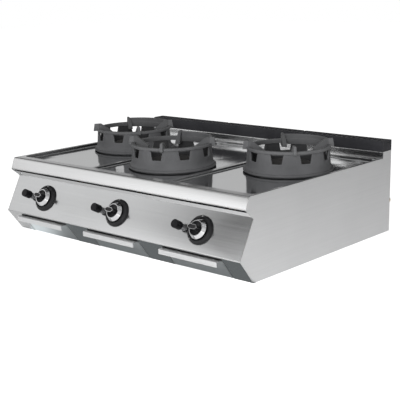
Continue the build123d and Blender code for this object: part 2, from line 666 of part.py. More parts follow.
def supply_pipe(bay):
    """Gas pipe from the valve's side to the injector."""
    x = BAY_X[bay]
    y, z = panel_point(KNOB_DOWN, -36)
    end = BURNER_Y[bay] - 185
    route = [(x + 20, y, z), (x + 52, y, z), (x + 52, end - 42, MIX_Z),
             (x, end - 42, MIX_Z), (x, end, MIX_Z)]
    return tube(route, 5, 12, bore=4)


def pilot_tube(bay):
    """Thin tube from the valve's left side to the pilot."""
    x = BAY_X[bay]
    px, py = pilot_place(bay, "pilot")
    y, z = panel_point(KNOB_DOWN - 6, -37)
    route = [(px, py, 240), (px, py, LEAD_Z), (px, y, LEAD_Z), (px, y, z), (x - 20, y, z)]
    return tube(route, 2.5, 9)


def thermocouple(bay):
    """Probe that the pilot heats, with its lead to the top of the valve."""
    x = BAY_X[bay]
    px, py = pilot_place(bay, "thermocouple")
    y, z = panel_point(KNOB_DOWN - 19, -50)
    probe = rod(3.2, 240, 300, px, py) + rod(5.5, 253, 257, px, py)
    route = [(px, py, 241), (px, py, LEAD_Z), (px, y, LEAD_Z), (x, y, LEAD_Z), (x, y, z)]
    return probe + tube(route, 1.5, 9) - valve_body(bay)


def ignition_lead(bay):
    """High-tension lead from the electrode to the igniter."""
    x = BAY_X[bay] - BUTTON_LEFT
    px, py = pilot_place(bay, "electrode")
    y, _ = panel_point(KNOB_DOWN - 12, -28)
    route = [(px, py, 240), (px, py, LEAD_Z), (x, 150, LEAD_Z), (x, y, LEAD_Z), (x, y, 140)]
    return tube(route, 2.5, 12) - igniter_body(bay)


# ---------------------------------------------------------------- knobs and buttons
def knob_bezel(bay):
    """Domed bezel on the panel, with a well under the knob."""
    outline = [(BEZEL_RADIUS, 0), (BEZEL_RADIUS, 3), (50.5, 5.6), (48.5, 8.4), (46, 10.4),
               (43, 11.7), (40.8, 12), (40, 11.2), (40, 2), (12, 2), (12, 0)]
    return on_panel(BAY_X[bay]) * turned(outline)


GRIP_BASE = 9.0                # height of the knob's underside over the panel
GRIP_RADIUS = 34.0
DISH_RADIUS = 26.4             # upper edge of the knob's bright cone
BAR_TOP = 47.0
BAR_EDGE = 1.4                 # height of the bright edge on the bar


def grip_outline(inset=0.0):
    """Outline of the knob's bar: straight sides and blunt pointed ends."""
    corners = [(22, 0), (12, 8.5), (-12, 8.5), (-22, 0), (-12, -8.5), (12, -8.5)]
    outline = make_face(Polyline(*corners, close=True))
    outline = fillet(outline.vertices(), 3.5)
    return offset(outline, -inset) if inset else outline


def knob_grip(bay):
    """Turning part of the knob: a dished body with a bar handle."""
    outline = [(0, GRIP_BASE), (GRIP_RADIUS - 1.5, GRIP_BASE), (GRIP_RADIUS, 10.5),
               (GRIP_RADIUS, 15), (DISH_RADIUS, 25.6), (24.5, 25.6), (22, 23.5), (18, 20.5),
               (12, 18.6), (0, 18)]
    body = turned(outline)
    body += Pos(0, 0, 16) * extrude(grip_outline(), BAR_TOP - BAR_EDGE - 16)
    body -= flatted(STEM_RADIUS, STEM_FLAT, GRIP_BASE - 1, STEM_HEAD)
    return on_panel(BAY_X[bay]) * body


def knob_trim(bay):
    """Bright cone round the knob and bright edge on top of its bar."""
    cone = turned([(GRIP_RADIUS, 13), (35.2, 13), (35.2, 15.4), (DISH_RADIUS + 0.8, 27.2),
                   (DISH_RADIUS - 1.2, 27.2), (DISH_RADIUS - 1.2, 25.6), (DISH_RADIUS, 25.6),
                   (GRIP_RADIUS, 15)])
    edge = extrude(grip_outline(0.4) - grip_outline(1.6), BAR_EDGE)
    edge = Pos(0, 0, BAR_TOP - BAR_EDGE) * edge
    return [on_panel(BAY_X[bay]) * cone, on_panel(BAY_X[bay]) * edge]


def igniter_body(bay):
    """Igniter behind the panel, with the sleeve that guides its button."""
    body = rod(11.5, -35, -PANEL_SHEET) + rod(8.8, -5, 1) + rod(11.5, 0, 24)
    body = body - rod(8.2, 2, 25) - rod(4.3, -28, 5)
    return on_button(bay) * body


def button_cap(bay):
    """Ribbed button that slides over the sleeve."""
    cap = rod(BUTTON_RADIUS, 15, 45)
    cap = fillet(cap.edges().group_by(Axis.Z)[-1], 2.2) - rod(11.9, 14, 41)
    cap -= around(Pos(BUTTON_RADIUS + 0.4, 0, 28) * Cylinder(1.2, 27), 18)
    cap += rod(4, -14, 42)
    return on_button(bay) * cap


def coil(foot, height, radius, wire, turns):
    """Helical spring about z."""
    path = Pos(0, 0, foot + wire) * Helix((height - 2 * wire) / turns, height - 2 * wire, radius)
    start = Plane(origin=path @ 0, z_dir=path % 0)
    return sweep(start * Circle(wire), path)


def button_spring(bay):
    """Return spring in the igniter's sleeve, as short as the pressed button leaves it."""
    return on_button(bay) * coil(2.2, 24, 6.2, 0.6, 8)


def stem_spring(bay):
    """Return spring under the valve stem, as short as the pressed knob leaves it."""
    room = STEM_FOOT - KNOB_TRAVEL - PLUG_FLOOR
    return on_panel(BAY_X[bay]) * coil(PLUG_FLOOR + 0.2, room - 0.4, 2.0, 0.4, 3)


# ---------------------------------------------------------------- write the nodes
os.makedirs("parts", exist_ok=True)

write("side_panel_left", side_panel(-1))
write("side_panel_right", side_panel(1))
write("rear_panel", rear_panel())
write("worktop_frame", worktop_frame())
write("front_panel", front_panel())
write("flue_duct", flue_duct())
write("chassis_rails", *chassis_rails())
write("foot_bushes", *foot_bushes())
write("tray_runners", *tray_runners())
write("rear_screws", *rear_screws())
write("gas_manifold", gas_manifold())
write("gas_inlet_pipe", gas_inlet_pipe())
write("gas_inlet_nipple", gas_inlet_nipple())

ALIKE = {
    "burner_bowls": burner_bowl,
    "burner_brackets": burner_bracket,
    "injectors": injector,
    "supply_pipes": supply_pipe,
    "pilot_burners": pilot_burner,
    "pilot_tubes": pilot_tube,
    "spark_electrodes": electrode,
    "ignition_leads": ignition_lead,
    "thermocouples": thermocouple,
    "valve_bodies": valve_body,
    "igniter_bodies": igniter_body,
    "knob_bezels": knob_bezel,
}
springs = [make(bay) for make in (button_spring, stem_spring) for bay in BAY_X]
write("return_springs", *springs)
for node, make in ALIKE.items():
    write(node, *[make(bay) for bay in BAY_X])

for bay in BAY_X:
    write(f"well_pan_{bay}", well_pan(bay))
    write(f"flue_grille_{bay}", flue_grille(bay))
    write(f"stand_base_{bay}", stand_base(bay))
    write(f"stand_top_{bay}", stand_top(bay))
    write(f"burner_cap_{bay}", burner_cap(bay))
    write(f"drip_tray_{bay}", drip_tray(bay))
    write(f"valve_plug_{bay}", valve_plug(bay))
    write(f"valve_stem_{bay}", valve_stem(bay))
    write(f"knob_grip_{bay}", knob_grip(bay))
    write(f"knob_trim_{bay}", *knob_trim(bay))
    write(f"button_cap_{bay}", button_cap(bay))
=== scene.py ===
# %% [markdown]
# # A countertop wok range, dressed in Blender
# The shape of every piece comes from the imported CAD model, which stays as it is. This lesson
# gives those pieces rounded edges, metals, castings and plastics, adds the small printed marks,
# and sets up a pale studio. All sizes are metres, in the model's own frame: +X to the right,
# +Y to the rear, +Z up, with the middle of the underside at the origin.

# %% Load the fixed frame
import json
import math

import bpy
from mathutils import Matrix, Vector


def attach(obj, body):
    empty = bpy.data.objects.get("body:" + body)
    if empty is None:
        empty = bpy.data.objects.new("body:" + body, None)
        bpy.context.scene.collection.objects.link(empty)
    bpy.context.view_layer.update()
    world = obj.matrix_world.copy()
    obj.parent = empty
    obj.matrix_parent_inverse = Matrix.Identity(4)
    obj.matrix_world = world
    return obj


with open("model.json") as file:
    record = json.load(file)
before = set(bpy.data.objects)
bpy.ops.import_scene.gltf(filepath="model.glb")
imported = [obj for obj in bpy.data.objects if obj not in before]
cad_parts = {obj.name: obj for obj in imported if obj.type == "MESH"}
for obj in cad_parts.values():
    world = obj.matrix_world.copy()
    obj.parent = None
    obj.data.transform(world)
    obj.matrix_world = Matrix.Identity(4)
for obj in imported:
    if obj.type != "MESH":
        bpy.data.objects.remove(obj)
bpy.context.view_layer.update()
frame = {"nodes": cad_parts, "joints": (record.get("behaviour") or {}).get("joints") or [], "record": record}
scene = bpy.context.scene
nodes = frame["nodes"]

# %% [markdown]
# ## Small helpers for node trees
# Every material and every geometry tree below is built from the same move: add a node, and feed
# its inputs with a number, a colour or what another node gives. Blender's own calls need a line
# for each input. A few short helpers do the whole move at once and keep the trees readable.

# %% Node tree helpers


def feed(tree, node, values):
    """Feed a node's inputs, by name or number, with a value or another node's output."""
    for name, value in values.items():
        if isinstance(value, bpy.types.NodeSocket):
            tree.links.new(value, node.inputs[name])
        else:
            node.inputs[name].default_value = value


def add(tree, kind, values=None, **settings):
    """Add a node, set its properties, and feed its inputs."""
    node = tree.nodes.new(kind)
    for name, value in settings.items():
        setattr(node, name, value)
    feed(tree, node, values or {})
    return node


def calc(tree, operation, *terms):
    """Result of a math node. The terms are in the order of its inputs."""
    node = add(tree, "ShaderNodeMath", dict(enumerate(terms)), operation=operation)
    return node.outputs[0]


def vector_calc(tree, operation, first, second):
    """Result of a vector math node on two terms."""
    target = "Scale" if operation == "SCALE" else 1
    node = add(tree, "ShaderNodeVectorMath", {0: first, target: second}, operation=operation)
    return node.outputs["Value" if operation in ("DISTANCE", "DOT_PRODUCT") else "Vector"]


def fade(tree, value, start, end, low=0.0, high=1.0):
    """Value that goes smoothly from low to high while another goes from start to end."""
    node = add(tree, "ShaderNodeMapRange", {
        "Value": value, "From Min": start, "From Max": end, "To Min": low, "To Max": high,
    }, interpolation_type="SMOOTHSTEP")
    return node.outputs["Result"]


def group_tree(name, inputs, outputs, kind="ShaderNodeTree"):
    """New node group with named, typed sockets."""
    tree = bpy.data.node_groups.new(name, kind)
    for label, (socket_type, value) in inputs.items():
        socket = tree.interface.new_socket(name=label, in_out="INPUT", socket_type=socket_type)
        if value is not None:
            socket.default_value = value
    for label, socket_type in outputs.items():
        tree.interface.new_socket(name=label, in_out="OUTPUT", socket_type=socket_type)
    return tree, add(tree, "NodeGroupInput"), add(tree, "NodeGroupOutput")


FLOAT, VECTOR, INTEGER = "NodeSocketFloat", "NodeSocketVector", "NodeSocketInt"
GEOMETRY, MATERIAL = "NodeSocketGeometry", "NodeSocketMaterial"

# %% [markdown]
# ## Brushed grain
# Stainless sheet is ground with a belt, which leaves thousands of short parallel scratches. They
# could be painted, but a noise that is stretched along the belt's direction gives the same look
# at any size. The stretch is three numbers, one per axis: a small one along the scratches and
# large ones across them. The group gives a streak value for colour and roughness, and a normal.

# %% Shader group: brushed grain


def noise(tree, place, scale, detail, roughness):
    """Noise value at a place."""
    values = {"Vector": place, "Scale": scale, "Detail": detail, "Roughness": roughness}
    return add(tree, "ShaderNodeTexNoise", values).outputs["Fac"]


def bump(tree, height, strength, distance):
    """Normal of a surface that a height value shapes. distance is the relief's depth."""
    values = {"Height": height, "Strength": strength, "Distance": distance}
    return add(tree, "ShaderNodeBump", values).outputs["Normal"]


ALONG_X = (4.0, 900.0, 900.0)
ALONG_Y = (900.0, 4.0, 900.0)
DRAWN = (60.0, 60.0, 60.0)
FINE_SHARE, WIDE_SHARE = 0.55, 0.45
SCRATCH_DEPTH = 0.0004

grain, grain_in, grain_out = group_tree(
    "brushed_grain",
    {"Stretch": (VECTOR, ALONG_X), "Depth": (FLOAT, 0.05)},
    {"Streak": FLOAT, "Cloud": FLOAT, "Normal": VECTOR},
)
place = add(grain, "ShaderNodeTexCoord").outputs["Object"]
stretched = vector_calc(grain, "MULTIPLY", place, grain_in.outputs["Stretch"])
fine = noise(grain, stretched, scale=1.0, detail=3.0, roughness=0.6)
wide = noise(grain, stretched, scale=0.14, detail=2.0, roughness=0.5)
streak = calc(grain, "MULTIPLY_ADD", fine, FINE_SHARE, calc(grain, "MULTIPLY", wide, WIDE_SHARE))
feed(grain, grain_out, {
    "Streak": streak,
    "Cloud": noise(grain, place, scale=3.2, detail=4.0, roughness=0.55),
    "Normal": bump(grain, streak, grain_in.outputs["Depth"], SCRATCH_DEPTH),
})
print(grain.name, "nodes", len(grain.nodes))

# %% [markdown]
# ## Cast skin
# Sand-cast iron keeps the print of the sand: a fine pebble, a few broader swells where the mould
# gave way, and edges that lose their enamel first. Pebble and swell are two noises in one bump.
# The edge mask compares the surface's own normal with a rounded one, and is bright on edges only.

# %% Shader group: cast skin
PEBBLE_SHARE = 0.35
CAST_RELIEF = 0.0012
AGREE_ON_FLAT, AGREE_ON_EDGE = 0.98, 0.75

cast, cast_in, cast_out = group_tree(
    "cast_skin",
    {"Pebble": (FLOAT, 900.0), "Depth": (FLOAT, 0.5), "Edge Radius": (FLOAT, 0.003)},
    {"Speck": FLOAT, "Cloud": FLOAT, "Edge": FLOAT, "Normal": VECTOR},
)
place = add(cast, "ShaderNodeTexCoord").outputs["Object"]
pebble = noise(cast, place, cast_in.outputs["Pebble"], detail=5.0, roughness=0.65)
swell = noise(cast, place, scale=60.0, detail=3.0, roughness=0.5)
relief = calc(cast, "MULTIPLY_ADD", pebble, PEBBLE_SHARE, swell)
rounded = add(cast, "ShaderNodeBevel", {"Radius": cast_in.outputs["Edge Radius"]}, samples=4)
straight = add(cast, "ShaderNodeNewGeometry")
agree = vector_calc(cast, "DOT_PRODUCT", rounded.outputs["Normal"], straight.outputs["Normal"])
edge = add(cast, "ShaderNodeMapRange", {
    "Value": agree, "From Min": AGREE_ON_FLAT, "From Max": AGREE_ON_EDGE,
})
feed(cast, cast_out, {
    "Speck": pebble,
    "Cloud": noise(cast, place, scale=9.0, detail=4.0, roughness=0.6),
    "Edge": edge.outputs["Result"],
    "Normal": bump(cast, relief, cast_in.outputs["Depth"], CAST_RELIEF),
})
print(cast.name, "nodes", len(cast.nodes))

# %% [markdown]
# ## Moulded skin
# Knobs and buttons are moulded in a black plastic with a faint spark-eroded texture. The group
# gives that texture as a shallow bump, and a slow variation for the roughness where hands polish.

# %% Shader group: moulded skin
MOULD_RELIEF = 0.0002

mould, mould_in, mould_out = group_tree(
    "moulded_skin",
    {"Scale": (FLOAT, 2600.0), "Depth": (FLOAT, 0.2)},
    {"Wear": FLOAT, "Normal": VECTOR},
)
place = add(mould, "ShaderNodeTexCoord").outputs["Object"]
spark = noise(mould, place, mould_in.outputs["Scale"], detail=2.0, roughness=0.6)
feed(mould, mould_out, {
    "Wear": noise(mould, place, scale=45.0, detail=3.0, roughness=0.6),
    "Normal": bump(mould, spark, mould_in.outputs["Depth"], MOULD_RELIEF),
})
print(mould.name, "nodes", len(mould.nodes))

# %% [markdown]
# ## Metals
# One function makes every metal: it mixes two near greys along the streaks, adds a slow cloud so
# that a wide panel isn't dead flat, and lets the same values move the roughness. The casing is
# ground front to rear, and the sheets that lie across it are ground from side to side. Turned and
# drawn pieces have no belt marks, so their noise is the same along all axes.

# %% Materials: brushed and drawn metals
FINISH = {}
NOISE_LOW, NOISE_HIGH = 0.3, 0.7  # nearly all values of a noise lie between these


def new_material(name, values):
    """New material, kept as a finish, with a Principled shader that has these values."""
    material = bpy.data.materials.new(name)
    material.use_nodes = True
    tree = material.node_tree
    tree.nodes.clear()
    shader = add(tree, "ShaderNodeBsdfPrincipled", values)
    add(tree, "ShaderNodeOutputMaterial", {"Surface": shader.outputs["BSDF"]})
    FINISH[name] = material
    return tree, shader


def mixed(tree, fac, first, second):
    """Colour between two others. Each is a triple or another node's output."""
    ends = {label: (*end, 1) if isinstance(end, tuple) else end
            for label, end in (("A", first), ("B", second))}
    node = add(tree, "ShaderNodeMix", {"Factor": fac, **ends}, data_type="RGBA")
    return node.outputs["Result"]


def spread(tree, fac, low, high):
    """Value that follows a noise between two limits."""
    node = add(tree, "ShaderNodeMapRange", {
        "Value": fac, "From Min": NOISE_LOW, "From Max": NOISE_HIGH,
        "To Min": low, "To Max": high,
    })
    return node.outputs["Result"]


def sheet_metal(name, dark, light, roughness, stretch, depth=0.05, cloudy=0.5):
    """Metal with brushed grain. roughness is (smoothest, roughest)."""
    tree, shader = new_material(name, {"Metallic": 1.0})
    skin = add(tree, "ShaderNodeGroup", node_tree=grain)
    feed(tree, skin, {"Stretch": stretch, "Depth": depth})
    pattern = add(tree, "ShaderNodeMix", {
        "Factor": cloudy, "A": skin.outputs["Streak"], "B": skin.outputs["Cloud"],
    }, data_type="FLOAT").outputs["Result"]
    feed(tree, shader, {
        "Base Color": mixed(tree, spread(tree, pattern, 0.0, 1.0), dark, light),
        "Roughness": spread(tree, pattern, *roughness),
        "Normal": skin.outputs["Normal"],
    })


sheet_metal("casing_steel", (0.7, 0.703, 0.708), (0.8, 0.803, 0.808), (0.3, 0.42), ALONG_Y)
sheet_metal("worktop_steel", (0.7, 0.702, 0.705), (0.8, 0.802, 0.805), (0.2, 0.27), ALONG_X)
sheet_metal("well_steel", (0.6, 0.605, 0.61), (0.7, 0.705, 0.71), (0.06, 0.13), ALONG_X,
            depth=0.015)
sheet_metal("front_steel", (0.58, 0.585, 0.59), (0.68, 0.685, 0.69), (0.14, 0.2), ALONG_X)
sheet_metal("tray_steel", (0.84, 0.845, 0.85), (0.94, 0.945, 0.95), (0.46, 0.56), ALONG_X)
sheet_metal("galvanised", (0.36, 0.37, 0.385), (0.5, 0.51, 0.525), (0.38, 0.6), DRAWN,
            depth=0.02, cloudy=0.7)
sheet_metal("fastener_steel", (0.4, 0.4, 0.41), (0.55, 0.55, 0.56), (0.25, 0.4), DRAWN,
            depth=0.02)
sheet_metal("fitting_brass", (0.55, 0.4, 0.16), (0.78, 0.6, 0.28), (0.25, 0.42), DRAWN,
            depth=0.03)
sheet_metal("aluminium_tube", (0.6, 0.61, 0.62), (0.78, 0.79, 0.8), (0.25, 0.4), DRAWN,
            depth=0.03)
sheet_metal("copper_tube", (0.5, 0.24, 0.14), (0.78, 0.42, 0.28), (0.25, 0.4), DRAWN,
            depth=0.03)
sheet_metal("igniter_metal", (0.2, 0.2, 0.205), (0.3, 0.3, 0.305), (0.3, 0.45), DRAWN,
            depth=0.02)
sheet_metal("pilot_metal", (0.45, 0.43, 0.4), (0.62, 0.6, 0.57), (0.3, 0.45), DRAWN,
            depth=0.03)
sheet_metal("knob_chrome", (0.78, 0.78, 0.79), (0.86, 0.86, 0.87), (0.07, 0.14), DRAWN,
            depth=0.01)
sheet_metal("stem_steel", (0.6, 0.6, 0.61), (0.72, 0.72, 0.73), (0.18, 0.28), DRAWN,
            depth=0.02)
FINISH["spring_steel"] = FINISH["stem_steel"]
print("metals", len(FINISH))

# %% [markdown]
# ## Painted shade inside the rings
# The wok stands are deep rings, and less light reaches their inner walls than their outside, so
# the inner walls are painted darker: painted shade. A mask could be painted by hand. Here the
# distance to the nearest burner's axis tells what lies inside, since every stand is round, and the change
# takes place in its wall.

# %% Shader group: inside of a ring
BAY_PITCH = 0.4
BURNER_AXES = ((-BAY_PITCH, 0.065), (0.0, -0.125), (BAY_PITCH, 0.065))

inside_ring, ring_in, ring_out = group_tree(
    "inside_ring",
    {"Radius": (FLOAT, 0.147), "Fade": (FLOAT, 0.0015)},
    {"Value": FLOAT},
)
place = add(inside_ring, "ShaderNodeTexCoord").outputs["Object"]
flat = vector_calc(inside_ring, "MULTIPLY", place, (1.0, 1.0, 0.0))
nearest = None
for axis_x, axis_y in BURNER_AXES:
    apart = vector_calc(inside_ring, "DISTANCE", flat, (axis_x, axis_y, 0.0))
    nearest = apart if nearest is None else calc(inside_ring, "MINIMUM", nearest, apart)
full = calc(inside_ring, "SUBTRACT", ring_in.outputs["Radius"], ring_in.outputs["Fade"])
feed(inside_ring, ring_out, {
    "Value": fade(inside_ring, nearest, ring_in.outputs["Radius"], full),
})
print(inside_ring.name, "nodes", len(inside_ring.nodes))

# %% [markdown]
# ## Cast iron
# Stands, grilles and burners are raw or enamelled castings: dark, rough and a little worn. One
# function mixes two darks by the slow cloud, rubs the edges bare where the specks allow it, and
# adds painted shade inside the rings where it is asked for. The gas pipes get the same skin with a
# broader and much shallower print.

# %% Materials: cast iron
# Colour of the painted shade on the inner walls of the rings, where less light reaches.
RING_SHADE = (0.006, 0.006, 0.006)


def cast_iron(name, dark, light, worn, roughness, pebble=900.0, depth=0.5, inside_shade=0.0,
              shine=0.5):
    """Dark cast metal with bare edges. roughness is (smoothest, roughest). inside_shade is how
    much painted shade darkens the inside of a ring."""
    tree, shader = new_material(name, {"Specular IOR Level": shine})
    skin = add(tree, "ShaderNodeGroup", node_tree=cast)
    feed(tree, skin, {"Pebble": pebble, "Depth": depth})
    colour = mixed(tree, spread(tree, skin.outputs["Cloud"], 0.0, 1.0), dark, light)
    rubbed = spread(tree, skin.outputs["Speck"], 0.1, 0.9)
    colour = mixed(tree, calc(tree, "MULTIPLY", skin.outputs["Edge"], rubbed), colour, worn)
    # Painted shade: the inner wall of a ring is made darker, where less light reaches.
    if inside_shade:
        within = add(tree, "ShaderNodeGroup", node_tree=inside_ring).outputs["Value"]
        colour = mixed(tree, calc(tree, "MULTIPLY", within, inside_shade), colour, RING_SHADE)
    feed(tree, shader, {
        "Base Color": colour,
        "Roughness": spread(tree, skin.outputs["Speck"], *roughness),
        "Normal": skin.outputs["Normal"],
    })


cast_iron("stand_iron", (0.075, 0.076, 0.079), (0.105, 0.106, 0.11), (0.18, 0.18, 0.186),
          (0.48, 0.62), inside_shade=0.7)
cast_iron("stand_top_iron", (0.09, 0.091, 0.094), (0.125, 0.126, 0.13), (0.2, 0.2, 0.206),
          (0.46, 0.6), inside_shade=0.3)
cast_iron("grille_iron", (0.022, 0.022, 0.025), (0.038, 0.038, 0.042), (0.08, 0.08, 0.085),
          (0.5, 0.65), shine=0.25)
cast_iron("burner_iron", (0.018, 0.017, 0.016), (0.035, 0.033, 0.031), (0.08, 0.076, 0.07),
          (0.55, 0.75))
cast_iron("pipe_steel", (0.05, 0.05, 0.053), (0.08, 0.08, 0.083), (0.14, 0.14, 0.145),
          (0.35, 0.5), pebble=400.0, depth=0.1)
print("with cast iron", len(FINISH))

# %% [markdown]
# ## Plastics, ceramic and rubber
# The rest of the finishes aren't metal. They are smooth and even, so one function gives them two
# near tones, the moulded skin and a roughness of their own. Shine is kept low on the black ones,
# which would otherwise mirror the pale room and look grey.

# %% Materials: plastics, ceramic and rubber


def moulded(name, dark, light, roughness, depth=0.2, shine=0.5):
    """Moulded non-metal. roughness is (smoothest, roughest)."""
    tree, shader = new_material(name, {"Specular IOR Level": shine})
    skin = add(tree, "ShaderNodeGroup", node_tree=mould)
    feed(tree, skin, {"Depth": depth})
    feed(tree, shader, {
        "Base Color": mixed(tree, spread(tree, skin.outputs["Wear"], 0.0, 1.0), dark, light),
        "Roughness": spread(tree, skin.outputs["Wear"], *roughness),
        "Normal": skin.outputs["Normal"],
    })


moulded("bezel_plastic", (0.01, 0.01, 0.011), (0.018, 0.018, 0.019), (0.3, 0.42), shine=0.3)
moulded("knob_plastic", (0.008, 0.008, 0.009), (0.015, 0.015, 0.016), (0.25, 0.38), shine=0.35)
moulded("button_plastic", (0.005, 0.005, 0.006), (0.01, 0.01, 0.011), (0.26, 0.38), shine=0.2)
moulded("electrode_ceramic", (0.78, 0.76, 0.7), (0.88, 0.87, 0.82), (0.12, 0.22), depth=0.05)
moulded("lead_sleeve", (0.1, 0.014, 0.01), (0.15, 0.022, 0.016), (0.5, 0.65))
moulded("mark_white", (0.75, 0.75, 0.74), (0.86, 0.86, 0.85), (0.4, 0.5), depth=0.05)
print("all finishes", len(FINISH))

# %% [markdown]
# ## Give every CAD node its finish
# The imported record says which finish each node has. The node's own mesh stays untouched: only its
# material slot changes.

# %% Assign the finishes
slot_of = {part["node"]: part["material_slot"] for part in frame["record"]["subparts"]}
for name, piece in nodes.items():
    piece.data.materials.clear()
    piece.data.materials.append(FINISH[slot_of[name]])
print("finishes", len(set(slot_of.values())))

# %% [markdown]
# ## Smooth shading up to an angle
# Curved walls must look round and folds must stay crisp, on one and the same piece. Shading could
# be set face by face, but a small geometry tree does it by rule: it shades everything smooth, and
# then marks the edges as sharp where two faces meet at more than a limit.

# %% Geometry tree: shade smooth up to an angle
smooth_tree, tree_in, tree_out = group_tree(
    "shade_smooth_up_to",
    {"Geometry": (GEOMETRY, None), "Angle": (FLOAT, 0.0)},
    {"Geometry": GEOMETRY},
    kind="GeometryNodeTree",
)
faces_smooth = add(smooth_tree, "GeometryNodeSetShadeSmooth", {
    "Geometry": tree_in.outputs["Geometry"],
}, domain="FACE")
sharper = add(smooth_tree, "FunctionNodeCompare", {
    "A": add(smooth_tree, "GeometryNodeInputMeshEdgeAngle").outputs["Unsigned Angle"],
    "B": tree_in.outputs["Angle"],
}, data_type="FLOAT", operation="GREATER_THAN")
edges_sharp = add(smooth_tree, "GeometryNodeSetShadeSmooth", {
    "Geometry": faces_smooth.outputs["Geometry"],
    "Selection": sharper.outputs["Result"],
    "Shade Smooth": False,
}, domain="EDGE")
feed(smooth_tree, tree_out, {"Geometry": edges_sharp.outputs["Geometry"]})
print(smooth_tree.name, "nodes", len(smooth_tree.nodes))

# %% [markdown]
# ## Rounded edges on the CAD pieces
# A CAD mesh is loose triangles with knife edges, which catch no light. Three modifiers mend that
# without touching the mesh: Weld joins the triangles, a planar Decimate turns flat areas into
# single faces, and Bevel rolls the edges. Only the stands and the grilles have edges that show
# as rolled. Everything else is welded and shaded smooth.

# %% Soften every CAD node
WELD_REACH = 0.00001
FLAT_WITHIN = math.radians(0.3)
SHARP_FROM = math.radians(30.0)
ROLLED_EDGES = {"stand_": 0.0012, "flue_grille": 0.0008}


def input_id(tree, label):
    """Identifier of a geometry tree's input, by which a modifier sets it."""
    for item in tree.interface.items_tree:
        if item.in_out == "INPUT" and item.name == label:
            return item.identifier


def soften(piece, edge):
    """Weld a mesh, round its sharp edges by edge metres, and shade the rest smooth."""
    weld = piece.modifiers.new("weld", "WELD")
    weld.merge_threshold = WELD_REACH
    if edge:
        flat_faces = piece.modifiers.new("flat_faces", "DECIMATE")
        flat_faces.decimate_type = "DISSOLVE"
        flat_faces.angle_limit = FLAT_WITHIN
        bevel = piece.modifiers.new("rolled_edges", "BEVEL")
        bevel.width = edge
        bevel.segments = 2
        bevel.limit_method = "ANGLE"
        bevel.angle_limit = SHARP_FROM
        bevel.harden_normals = False
    smooth = piece.modifiers.new("smooth", "NODES")
    smooth.node_group = smooth_tree
    smooth[input_id(smooth_tree, "Angle")] = SHARP_FROM


for name, piece in nodes.items():
    soften(piece, next((e for start, e in ROLLED_EDGES.items() if name.startswith(start)), 0.0))
print("softened", len(nodes))

# %% [markdown]
# ## Printed marks on the bezels
# Each bezel has a white dot at the top and one lower on the left, so that the cook can see which
# way the knob points. A geometry tree makes them all: it sets points on a circle, stands a thin
# disc on each along the slope of the bezel's dome, tilts the ring of discs into the panel's plane
# and repeats it for every bay.

# %% Where the controls stand
PANEL_FORWARD, PANEL_UP = 0.878935, 0.476941
PANEL_TILT = math.atan2(PANEL_FORWARD, PANEL_UP)
joints = {joint["name"]: joint for joint in frame["joints"]}
knob_axis = Vector(joints["knob_turn_middle"]["pos_m"])
print("middle knob axis", tuple(round(value, 4) for value in knob_axis))

# %% Geometry tree: marks on a row of dials
MARK_THICKNESS = 0.0004
MARK_SIDES = 20

marks_tree, tree_in, tree_out = group_tree(
    "marks_on_dials",
    {"Marks": (INTEGER, 2), "First Angle": (FLOAT, 0.0), "Angle Step": (FLOAT, 0.0),
     "Ring Radius": (FLOAT, 0.05), "Ring Height": (FLOAT, 0.01), "Dome Slope": (FLOAT, 0.5),
     "Mark Radius": (FLOAT, 0.002), "Dials": (INTEGER, 3), "Dial Pitch": (FLOAT, 0.4),
     "Tilt": (VECTOR, (0.0, 0.0, 0.0)), "Middle Dial": (VECTOR, (0.0, 0.0, 0.0)),
     "Material": (MATERIAL, None)},
    {"Geometry": GEOMETRY},
    kind="GeometryNodeTree",
)
wish = tree_in.outputs
index = add(marks_tree, "GeometryNodeInputIndex").outputs[0]
bearing = calc(marks_tree, "MULTIPLY_ADD", index, wish["Angle Step"], wish["First Angle"])
outward = add(marks_tree, "ShaderNodeCombineXYZ", {
    "X": calc(marks_tree, "COSINE", bearing), "Y": calc(marks_tree, "SINE", bearing),
}).outputs[0]
on_ring = vector_calc(marks_tree, "SCALE", outward, wish["Ring Radius"])
raised = add(marks_tree, "ShaderNodeCombineXYZ", {"Z": wish["Ring Height"]}).outputs[0]
lean = vector_calc(marks_tree, "SCALE", outward, wish["Dome Slope"])
facing = add(marks_tree, "FunctionNodeAlignRotationToVector", {
    "Vector": vector_calc(marks_tree, "ADD", lean, (0.0, 0.0, 1.0)),
}, axis="Z")
spots = add(marks_tree, "GeometryNodePoints", {
    "Count": wish["Marks"], "Position": vector_calc(marks_tree, "ADD", on_ring, raised),
})
disc = add(marks_tree, "GeometryNodeMeshCylinder", {
    "Vertices": MARK_SIDES, "Depth": MARK_THICKNESS, "Radius": wish["Mark Radius"],
})
ring = add(marks_tree, "GeometryNodeInstanceOnPoints", {
    "Points": spots.outputs[0], "Instance": disc.outputs["Mesh"], "Rotation": facing.outputs[0],
})
# The first dial stands (1 - dials) / 2 pitches from the middle one.
before_middle = calc(marks_tree, "MULTIPLY_ADD", wish["Dials"], -0.5, 0.5)
from_middle = calc(marks_tree, "ADD", index, before_middle)
sideways = calc(marks_tree, "MULTIPLY", from_middle, wish["Dial Pitch"])
dials = add(marks_tree, "GeometryNodePoints", {
    "Count": wish["Dials"],
    "Position": add(marks_tree, "ShaderNodeCombineXYZ", {"X": sideways}).outputs[0],
})
row = add(marks_tree, "GeometryNodeInstanceOnPoints", {
    "Points": dials.outputs[0], "Instance": ring.outputs[0], "Rotation": wish["Tilt"],
})
placed = add(marks_tree, "GeometryNodeTransform", {
    "Geometry": row.outputs[0], "Translation": wish["Middle Dial"],
})
real = add(marks_tree, "GeometryNodeRealizeInstances", {"Geometry": placed.outputs[0]})
painted = add(marks_tree, "GeometryNodeSetMaterial", {
    "Geometry": real.outputs[0], "Material": wish["Material"],
})
feed(marks_tree, tree_out, {"Geometry": painted.outputs[0]})
print(marks_tree.name, "nodes", len(marks_tree.nodes))

# %% Make the marks


